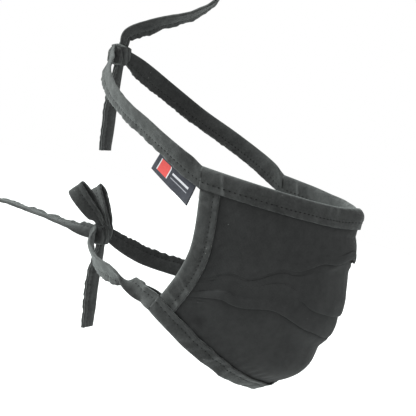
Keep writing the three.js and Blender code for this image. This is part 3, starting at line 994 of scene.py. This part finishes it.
class Tree:
    """Short ways to add and join the nodes of one node tree."""

    def __init__(self, tree):
        self.tree = tree

    def feed(self, socket, value):
        if isinstance(value, bpy.types.NodeSocket):
            self.tree.links.new(value, socket)
        elif value is not None:
            socket.default_value = value

    def node(self, kind, inputs=None, **settings):
        node = self.tree.nodes.new(kind)
        for key, value in settings.items():
            setattr(node, key, value)
        for key, value in (inputs or {}).items():
            self.feed(node.inputs[key], value)
        return node

    def math(self, operation, *values, clamped=False):
        node = self.node("ShaderNodeMath", operation=operation, use_clamp=clamped)
        for socket, value in zip(node.inputs, values):
            self.feed(socket, value)
        return node.outputs[0]

    def rise(self, value, low, high):
        """0 below low, 1 above high."""
        inputs = {"Value": value, "From Min": low, "From Max": high}
        node = self.node("ShaderNodeMapRange", inputs, interpolation_type="SMOOTHSTEP")
        return node.outputs["Result"]

    def noise(self, vector, scale, detail=2.0, roughness=0.5):
        inputs = {"Vector": vector, "Scale": scale, "Detail": detail, "Roughness": roughness}
        return self.node("ShaderNodeTexNoise", inputs).outputs["Fac"]

    def tint(self, share, start, end):
        node = self.node("ShaderNodeMix", {"Factor": share}, data_type="RGBA")
        self.feed(node.inputs[6], start)
        self.feed(node.inputs[7], end)
        return node.outputs[2]

    def bump(self, height, strength, distance):
        inputs = {"Height": height, "Strength": strength, "Distance": distance * MM}
        return self.node("ShaderNodeBump", inputs).outputs["Normal"]

    def shade(self, shader, values):
        for name, value in values.items():
            self.feed(shader.inputs[name], value)

    def group(self, name, inputs):
        node = self.tree.nodes.new("ShaderNodeGroup")
        node.node_tree = bpy.data.node_groups[name]
        for key, value in inputs.items():
            self.feed(node.inputs[key], value)
        return node


def effect(name, inputs, outputs):
    """New shared effect: its tree, and its input and output sockets by name.
    An input with no value takes a vector."""
    tree = bpy.data.node_groups.new(name, "ShaderNodeTree")
    for label, value in inputs.items():
        kind = "NodeSocketVector" if value is None else "NodeSocketFloat"
        socket = tree.interface.new_socket(label, in_out="INPUT", socket_type=kind)
        if value is not None:
            socket.default_value = value
    for label in outputs:
        tree.interface.new_socket(label, in_out="OUTPUT", socket_type="NodeSocketFloat")
    begin = tree.nodes.new("NodeGroupInput")
    end = tree.nodes.new("NodeGroupOutput")
    return Tree(tree), begin.outputs, end.inputs


def cloth_steps(tree, given):
    """Places along and over the cloth, in pitches."""
    parts = tree.node("ShaderNodeSeparateXYZ", {"Vector": given["Cloth"]}).outputs
    return [tree.math("DIVIDE", parts[axis], given["Pitch"]) for axis in ("X", "Y")]


def knit_effect():
    """Height of a fine knit: upright columns of small leaning loops."""
    tree, given, made = effect("knit", {"Cloth": None, "Pitch": 0.7 * MM}, ["Height"])
    column, course = cloth_steps(tree, given)
    leg = tree.math("PINGPONG", column, 0.5)
    leaning = tree.math("MULTIPLY_ADD", leg, 1.3, course)
    loop = tree.math("PINGPONG", leaning, 0.5)
    rounded = tree.math("MULTIPLY_ADD", leg, 0.6, loop)
    tree.feed(made["Height"], rounded)


def weave_effect():
    """Height of a plain weave: threads that pass over and under each other."""
    tree, given, made = effect("plain_weave", {"Cloth": None, "Pitch": 0.6 * MM}, ["Height"])
    angles = [tree.math("MULTIPLY", step, math.pi) for step in cloth_steps(tree, given)]
    over = tree.math("MULTIPLY", *(tree.math("SINE", angle) for angle in angles))
    along, across = (tree.math("ABSOLUTE", tree.math("COSINE", angle)) for angle in angles)
    threads = tree.math("MULTIPLY_ADD", tree.math("SUBTRACT", along, across), over, 0.5)
    tree.feed(made["Height"], threads)


def tone_effect():
    """Uneven dye and fuzz: a value round 0.5 that changes over the cloth at three scales."""
    sockets = {"Place": None, "Blotch": 30 * MM, "Mottle": 4 * MM, "Fuzz": 0.7 * MM}
    tree, given, made = effect("cloth_tone", sockets, ["Value", "Fuzz"])
    scales = {key: tree.math("DIVIDE", 1.0, given[key]) for key in ("Blotch", "Mottle", "Fuzz")}
    blotch = tree.noise(given["Place"], scales["Blotch"], 2)
    mottle = tree.noise(given["Place"], scales["Mottle"], 3)
    fuzz = tree.noise(given["Place"], scales["Fuzz"], 3, 0.7)
    broad = tree.math("MULTIPLY_ADD", blotch, 0.28, tree.math("MULTIPLY", mottle, 0.32))
    tree.feed(made["Value"], tree.math("MULTIPLY_ADD", fuzz, 0.4, broad))
    tree.feed(made["Fuzz"], fuzz)


def lint_effect():
    """Sparse pale specks of dust and lint."""
    sockets = {"Place": None, "Spacing": 4 * MM, "Share": 0.25}
    tree, given, made = effect("lint", sockets, ["Mask"])
    scale = tree.math("DIVIDE", 1.0, given["Spacing"])
    cells = tree.node("ShaderNodeTexVoronoi", {"Vector": given["Place"], "Scale": scale})
    pick = tree.node("ShaderNodeSeparateColor", {"Color": cells.outputs["Color"]})
    chosen = tree.math("LESS_THAN", pick.outputs["Red"], given["Share"])
    speck = tree.math("SUBTRACT", 1.0, tree.rise(cells.outputs["Distance"], 0.03, 0.10))
    tree.feed(made["Mask"], tree.math("MULTIPLY", speck, chosen))


def wear_and_highlight_effect():
    """Rubbed edges and the painted highlight on ridges, from the cloth's per-point mark, broken up."""
    tree, given, made = effect("edge_wear_and_highlight", {"Place": None}, ["Mask"])
    mark = tree.node("ShaderNodeAttribute", attribute_name="wear_and_highlight").outputs["Fac"]
    broken = tree.rise(tree.noise(given["Place"], 260.0, 3, 0.6), 0.35, 0.65)
    tree.feed(made["Mask"], tree.math("MULTIPLY", mark, broken, clamped=True))


def new_material(name, colour):
    material = bpy.data.materials.new(name)
    material.use_nodes = True
    material.diffuse_color = (*colour, 1)
    tree = Tree(material.node_tree)
    shader = material.node_tree.nodes["Principled BSDF"]
    return material, tree, shader


def cloth_material(name, dark, light, worn, weave, pitch, relief, sheen, lint_share, fuzz):
    """Woven or knitted cotton: its colour shifts with dye, fuzz, wear, lint, paler raised threads and
    a painted highlight on ridges.
    """
    material, tree, shader = new_material(name, light[:3])
    coordinates = tree.node("ShaderNodeTexCoord")
    place = coordinates.outputs["Object"]
    tone = tree.group("cloth_tone", {"Place": place, "Fuzz": fuzz})
    lint = tree.group("lint", {"Place": place, "Share": lint_share}).outputs["Mask"]
    wear_and_highlight = tree.group("edge_wear_and_highlight", {"Place": place}).outputs["Mask"]
    height = tree.group(weave, {"Cloth": coordinates.outputs["UV"], "Pitch": pitch}).outputs["Height"]
    shift = tree.rise(tone.outputs["Value"], 0.34, 0.66)
    colour = tree.tint(shift, dark, light)
    # Raised threads are tinted paler than the hollows between them.
    colour = tree.tint(tree.math("MULTIPLY", tree.rise(height, 0.1, 0.9), 0.4), colour, worn)
    # Paler on rubbed edges, and a painted highlight on fold ridges.
    colour = tree.tint(tree.math("MULTIPLY", wear_and_highlight, 0.6), colour, worn)
    colour = tree.tint(tree.math("MULTIPLY", lint, 0.5), colour, (0.25, 0.25, 0.24, 1))
    raised = tree.math("MULTIPLY_ADD", tone.outputs["Fuzz"], 0.6, height)
    values = {
        "Base Color": colour,
        "Roughness": tree.math("MULTIPLY_ADD", tone.outputs["Fuzz"], 0.2, 0.78),
        "Specular IOR Level": 0.15,
        "Sheen Weight": sheen,
        "Sheen Roughness": 0.45,
        "Sheen Tint": (0.86, 0.93, 0.91, 1),
        "Normal": tree.bump(raised, 0.6, relief),
    }
    tree.shade(shader, values)
    return material


def thread_material():
    """Black sewing thread with its twist."""
    material, tree, shader = new_material("sewing_thread", (0.01, 0.01, 0.01))
    place = tree.node("ShaderNodeTexCoord").outputs["Object"]
    strands = tree.noise(place, 3500.0, 2)
    shift = tree.rise(strands, 0.3, 0.7)
    values = {
        "Base Color": tree.tint(shift, (0.003, 0.003, 0.003, 1), (0.010, 0.010, 0.010, 1)),
        "Roughness": 0.85,
        "Specular IOR Level": 0.05,
        "Normal": tree.bump(strands, 0.5, 0.1),
    }
    tree.shade(shader, values)
    return material


def label_material():
    """Dark woven label with a plain red band and two pale lines, and no lettering."""
    material, tree, shader = new_material("woven_label", (0.02, 0.024, 0.034))
    coordinates = tree.node("ShaderNodeTexCoord")
    place, cloth = coordinates.outputs["Object"], coordinates.outputs["UV"]
    parts = tree.node("ShaderNodeSeparateXYZ", {"Vector": cloth})
    along, up = parts.outputs["X"], parts.outputs["Y"]

    def band(value, low, high):
        """1 between two places in millimetres, with a soft thread-wide edge."""
        soft = 0.12 * MM
        entering = tree.rise(value, low * MM - soft, low * MM + soft)
        leaving = tree.rise(value, high * MM - soft, high * MM + soft)
        return tree.math("SUBTRACT", entering, leaving)

    ribs = tree.math("SINE", tree.math("MULTIPLY", up, 2 * math.pi / (0.5 * MM)))
    threads = tree.math("SINE", tree.math("MULTIPLY", along, 2 * math.pi / (0.35 * MM)))
    height = tree.math("MULTIPLY_ADD", ribs, 0.6, tree.math("MULTIPLY", threads, 0.4))
    tone = tree.group("cloth_tone", {"Place": place, "Mottle": 0.0025})
    shift = tree.rise(tone.outputs["Value"], 0.34, 0.66)
    colour = tree.tint(shift, (0.010, 0.011, 0.016, 1), (0.022, 0.024, 0.032, 1))
    borders = tree.math("ADD", band(along, 2.9, 3.5), band(along, 11.0, 11.6))
    marks = (
        (band(along, 3.5, 11.0), (3.0, 12.0), (0.42, 0.045, 0.04, 1)),
        (borders, (3.0, 12.0), (0.45, 0.45, 0.46, 1)),
        (band(along, 13.5, 26.5), (8.0, 9.4), (0.40, 0.40, 0.42, 1)),
        (band(along, 13.5, 26.5), (5.4, 6.0), (0.22, 0.22, 0.24, 1)),
    )
    for across, (low, high), paint in marks:
        mask = tree.math("MULTIPLY", across, band(up, low, high))
        worn = tree.math("MULTIPLY", mask, tree.math("MULTIPLY_ADD", ribs, 0.08, 0.88))
        colour = tree.tint(worn, colour, paint)
    values = {
        "Base Color": colour,
        "Roughness": tree.math("MULTIPLY_ADD", tone.outputs["Fuzz"], 0.2, 0.5),
        "Specular IOR Level": 0.2,
        "Sheen Weight": 0.04,
        "Normal": tree.bump(height, 0.4, 0.08),
    }
    tree.shade(shader, values)
    return material


def floor_material():
    material, tree, shader = new_material("pale_floor", (0.92, 0.92, 0.92))
    place = tree.node("ShaderNodeTexCoord").outputs["Object"]
    shade = tree.noise(place, 1.5, 2)
    colour = tree.tint(shade, (0.63, 0.63, 0.63, 1), (0.66, 0.66, 0.66, 1))
    tree.shade(shader, {"Base Color": colour, "Roughness": 0.9})
    return material


def studio():
    """Camera at the photograph's angle, white surroundings, a soft light behind and a pale floor."""
    scene = bpy.context.scene
    scene.view_settings.view_transform = "Standard"
    flat = math.cos(CAMERA_DROP)
    look = Vector(
        (math.cos(CAMERA_TURN) * flat, math.sin(CAMERA_TURN) * flat, -math.sin(CAMERA_DROP))
    )
    level = look.cross(Vector((0, 0, 1))).normalized()
    upright = level.cross(look)
    right = level * math.cos(CAMERA_ROLL) + upright * math.sin(CAMERA_ROLL)
    up = upright * math.cos(CAMERA_ROLL) - level * math.sin(CAMERA_ROLL)
    data = bpy.data.cameras.new("camera")
    data.lens = CAMERA_LENS
    data.clip_start = 0.01
    camera = bpy.data.objects.new("camera", data)
    camera.matrix_world = Matrix.Translation(CAMERA_TARGET - look * CAMERA_DISTANCE) @ (
        Matrix((right, up, -look)).transposed().to_4x4()
    )
    scene.collection.objects.link(camera)
    scene.camera = camera

    world = bpy.data.worlds.new("white_surroundings")
    world.use_nodes = True
    white = world.node_tree.nodes["Background"].inputs
    white["Color"].default_value = (1, 1, 1, 1)
    white["Strength"].default_value = WORLD_WHITE
    scene.world = world

    light = bpy.data.lights.new("soft_light_behind", "SUN")
    light.angle = LIGHT_SPREAD
    light.energy = LIGHT_STRENGTH
    light.color = LIGHT_COLOUR
    lamp = bpy.data.objects.new("soft_light_behind", light)
    lamp.location = CAMERA_TARGET + LIGHT_FROM
    lamp.rotation_euler = (-LIGHT_FROM).to_track_quat("-Z", "Y").to_euler()
    scene.collection.objects.link(lamp)

    bm = bmesh.new()
    bmesh.ops.create_grid(bm, x_segments=1, y_segments=1, size=FLOOR_SIZE / 2)
    bmesh.ops.translate(bm, verts=bm.verts, vec=(0, 0, cad_box[0][2] - FLOOR_DROP))
    mesh_object("floor", bm, floor_material())


studio()
for build_effect in (knit_effect, weave_effect, tone_effect, lint_effect, wear_and_highlight_effect):
    build_effect()
materials = dict(
    panel=cloth_material(
        "black_jersey",
        dark=(0.0132, 0.0136, 0.0136, 1),
        light=(0.0233, 0.0238, 0.0237, 1),
        # Paler colour for wear, raised threads and the painted highlight on ridges.
        worn=(0.040, 0.042, 0.043, 1),
        weave="knit",
        pitch=0.8 * MM,
        relief=0.20,
        sheen=0.04,
        lint_share=0.06,
        fuzz=0.9 * MM,
    ),
    tape=cloth_material(
        "charcoal_tape",
        dark=(0.0060, 0.0064, 0.0064, 1),
        light=(0.0267, 0.0272, 0.0270, 1),
        # Paler colour for wear, raised threads and the painted highlight on ridges.
        worn=(0.063, 0.066, 0.065, 1),
        weave="plain_weave",
        pitch=0.6 * MM,
        relief=0.26,
        sheen=0.18,
        lint_share=0.18,
        fuzz=1.3 * MM,
    ),
    thread=thread_material(),
    label=label_material(),
)

panel = pleated_panel()
top_edge = edge_binding("top_tape", "top_binding", place_at_top, 0, 11.3, TOP_RIDGES)
bottom_edge = edge_binding("bottom_tape", "bottom_binding", place_at_bottom, 1, 23.7, BOTTOM_RIDGES)
side_tapes = [
    side_binding("side_tape_right", "side_binding_right", -1, 31.1, SIDE_RIDGES),
    side_binding("side_tape_left", "side_binding_left", 1, 37.9, SIDE_RIDGES),
]

top_tie = tie_stations(0, place_at_top, TOP_TIE_ROUTE, TOP_KNOT, 0)
nape_tie = tie_stations(1, place_at_bottom, NAPE_TIE_ROUTE, NAPE_KNOT, 180)
plain_route = [dict(row, width=1, turn=0) for row in NAPE_TIE_ROUTE]
plain_tie = mirrored(tie_stations(1, place_at_bottom, plain_route, NAPE_KNOT, 0))
corner = dict(start_radius=OVERLAP_RADIUS - 0.12, lead=1.2, tail=INTO_KNOT)
crown = tail_stations(TOP_KNOT, (1, 0, 1), CROWN_TAIL, CROWN_TAIL_ROUTE)
top_hanging = tail_stations(TOP_KNOT, (1, 0, -1), PLAIN_TAIL, HANGING_TAIL_ROUTE)
long_tail = tail_stations(NAPE_KNOT, (0, 1, 0), LONG_TAIL, LONG_TAIL_ROUTE)
nape_hanging = tail_stations(NAPE_KNOT, (1, 0, -1), PLAIN_TAIL, HANGING_TAIL_ROUTE)
bow = bow_stations()
from_knot = dict(lead=INTO_KNOT)
knot_to_knot = dict(lead=INTO_KNOT, tail=INTO_KNOT)
TIES = table(
    "name stations fold_side waves seed ends",
    ("top_tie_right", top_tie, 1, (0.25, 1), 41.3, corner),
    ("top_tie_left", mirrored(top_tie), -1, (0.25, 1), 43.7, corner),
    ("nape_tie_right", nape_tie, -1, (0.5, 1.2), 47.1, corner),
    ("nape_tie_left", plain_tie, 1, (0.5, 1.2), 53.9, corner),
    ("crown_tail", crown, 1, (0.8, 1), 59.3, from_knot),
    ("top_hanging_tail", top_hanging, 1, (0.8, 1), 61.7, from_knot),
    ("long_tail", long_tail, -1, (1.2, 1.5), 67.1, from_knot),
    ("nape_hanging_tail", nape_hanging, 1, (0.8, 1), 71.9, from_knot),
    ("bow_loop_right", bow, 1, (0.4, 0.4), 73.3, knot_to_knot),
    ("bow_loop_left", mirrored(bow), -1, (0.4, 0.4), 79.7, knot_to_knot),
)
for row in TIES:
    node, ends = row.pop("name"), row.pop("ends")
    tie_tape(node + "_tape", node, **row, **ends)

for name, centre, seed in (("top_knot", TOP_KNOT, 83.3), ("nape_knot", NAPE_KNOT, 89.7)):
    tight_knot(name + "_tape", name, centre, seed)

label = woven_label(top_tie)
